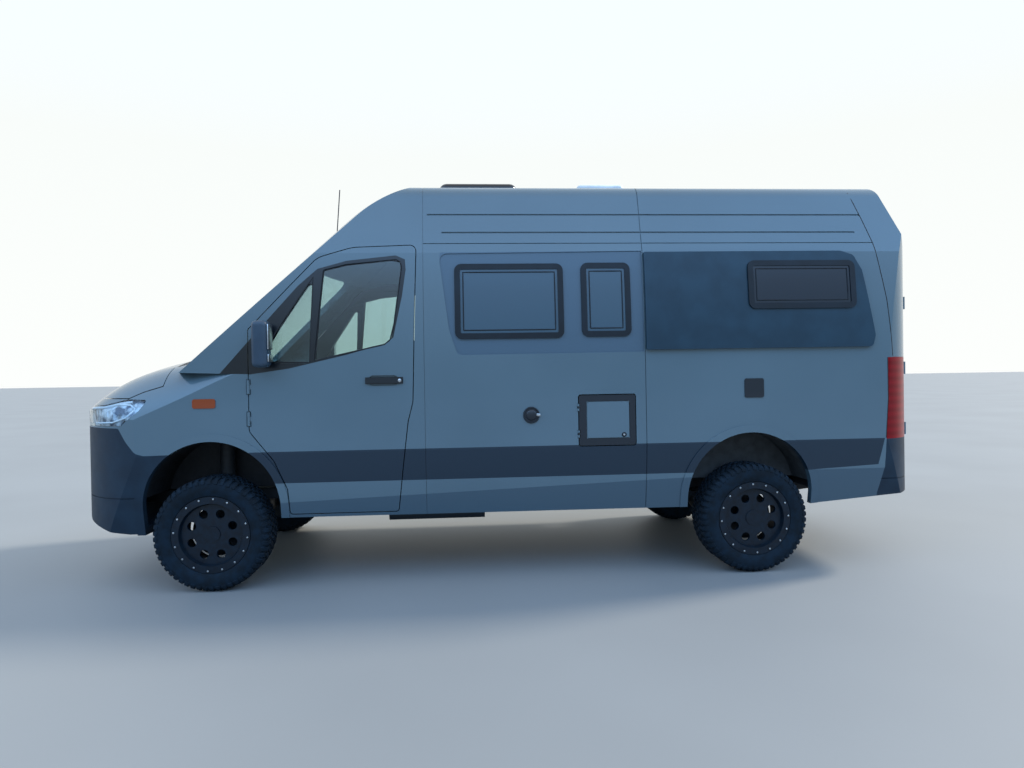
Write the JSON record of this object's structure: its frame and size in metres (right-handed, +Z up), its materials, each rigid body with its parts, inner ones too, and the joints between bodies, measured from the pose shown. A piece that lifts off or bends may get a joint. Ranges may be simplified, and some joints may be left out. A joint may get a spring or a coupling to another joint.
{
  "type": "high-roof camper van",
  "caption": "High-roof panel-van camper with raised all-wheel-drive running gear, tinted living windows, a roof light and opening cab, rear and service doors.",
  "frame": {"origin": "on the ground, under the middle of the van's bounding box", "axes": "+X towards the rear, so the van drives towards -X; +Y to the van's right; +Z up"},
  "size_m": [5.932, 2.336, 2.9046],
  "materials": {
    "paint": "gloss",
    "zone_paint": "satin",
    "bumper_plastic": "grained",
    "trim_black": "satin",
    "clear_glass": "clear",
    "dark_glass": "tinted",
    "lamp_clear": "clear",
    "lamp_red": "gloss",
    "wheel_black": "satin",
    "tyre": "matt",
    "underbody": "matt",
    "engine_metal": "rough",
    "brushed_metal": "brushed",
    "cab_plastic": "grained",
    "seat_cloth": "woven",
    "cabinet_board": "laminated",
    "roof_plastic": "gloss"
  },
  "bodies": {
    "body": {"aerial": "trim_black", "cab_frame": "paint", "chassis_frame": "underbody", "cowl": "trim_black", "dashboard": "cab_plastic", "engine": "engine_metal", "exhaust": "brushed_metal", "floor": "underbody", "front_axle": "underbody", "front_bumper": "bumper_plastic", "front_seats": "seat_cloth", "front_wings": "paint", "fuel_tank": "underbody", "furniture": "cabinet_board", "gearbox_and_shaft": "engine_metal", "grille": "trim_black", "headlamps": "lamp_clear", "high_roof": "paint", "leaf_springs": "underbody", "rear_axle": "underbody", "rear_bumper": "bumper_plastic", "rear_frame": "paint", "rear_lamps": "lamp_red", "roof_light": "dark_glass", "roof_vent": "roof_plastic", "side_fittings": "trim_black", "side_panels": "paint", "sliding_door": "paint", "wheelhouse_liners": "trim_black", "window_flares": "zone_paint", "window_frames": "trim_black", "window_panes": "dark_glass", "windscreen": "clear_glass"},
    "bonnet": {"bonnet": "paint"},
    "cab_door_left": {"cab_door_left": "paint", "cab_glass_left": "clear_glass", "mirror_left": "trim_black"},
    "cab_door_right": {"cab_door_right": "paint", "cab_glass_right": "clear_glass", "mirror_right": "trim_black"},
    "steering_left": {"knuckle_left": "engine_metal"},
    "steering_right": {"knuckle_right": "engine_metal"},
    "rear_door_left": {"rear_door_left": "paint", "rear_glass_left": "dark_glass"},
    "rear_door_right": {"rear_door_right": "paint", "rear_glass_right": "dark_glass"},
    "wheel_front_left": {"rim_front_left": "wheel_black", "tyre_front_left": "tyre"},
    "wheel_front_right": {"rim_front_right": "wheel_black", "tyre_front_right": "tyre"},
    "wheel_rear_left": {"rim_rear_left": "wheel_black", "tyre_rear_left": "tyre"},
    "wheel_rear_right": {"rim_rear_right": "wheel_black", "tyre_rear_right": "tyre"},
    "service_door": {"service_door": "zone_paint"}
  },
  "joints": [
    {"name": "steer_left", "type": "hinge", "parent": "body", "child": "steering_left", "pos_m": [-1.962, -0.793, 0.374], "axis": [0, 0, 1], "range_deg": [-32, 32]},
    {"name": "steer_right", "type": "hinge", "parent": "body", "child": "steering_right", "pos_m": [-1.962, 0.793, 0.374], "axis": [0, 0, 1], "range_deg": [-32, 32]},
    {"name": "spin_front_left", "type": "hinge", "parent": "steering_left", "child": "wheel_front_left", "pos_m": [-1.962, -0.881, 0.374], "axis": [0, 1, 0], "continuous": true},
    {"name": "spin_front_right", "type": "hinge", "parent": "steering_right", "child": "wheel_front_right", "pos_m": [-1.962, 0.881, 0.374], "axis": [0, 1, 0], "continuous": true},
    {"name": "spin_rear_left", "type": "hinge", "parent": "body", "child": "wheel_rear_left", "pos_m": [1.703, -0.881, 0.374], "axis": [0, 1, 0], "continuous": true},
    {"name": "spin_rear_right", "type": "hinge", "parent": "body", "child": "wheel_rear_right", "pos_m": [1.703, 0.881, 0.374], "axis": [0, 1, 0], "continuous": true},
    {"name": "open_cab_door_left", "type": "hinge", "parent": "body", "child": "cab_door_left", "pos_m": [-1.7, -1.007, 1.2], "axis": [0, 0, -1], "range_deg": [0, 70]},
    {"name": "open_cab_door_right", "type": "hinge", "parent": "body", "child": "cab_door_right", "pos_m": [-1.7, 1.007, 1.2], "axis": [0, 0, 1], "range_deg": [0, 70]},
    {"name": "open_rear_door_left", "type": "hinge", "parent": "body", "child": "rear_door_left", "pos_m": [2.921, -0.803, 1.4], "axis": [0, 0, -1], "range_deg": [0, 180]},
    {"name": "open_rear_door_right", "type": "hinge", "parent": "body", "child": "rear_door_right", "pos_m": [2.921, 0.803, 1.4], "axis": [0, 0, 1], "range_deg": [0, 180]},
    {"name": "open_bonnet", "type": "hinge", "parent": "body", "child": "bonnet", "pos_m": [-2.225, 0, 1.556], "axis": [0, 1, 0], "range_deg": [0, 50]},
    {"name": "open_service_door", "type": "hinge", "parent": "body", "child": "service_door", "pos_m": [0.481, -1.009, 1.075], "axis": [0, 0, -1], "range_deg": [0, 110]}
  ],
  "couplings": [
    {"joint": "steer_right", "follows": "steer_left", "ratio": 1}
  ]
}
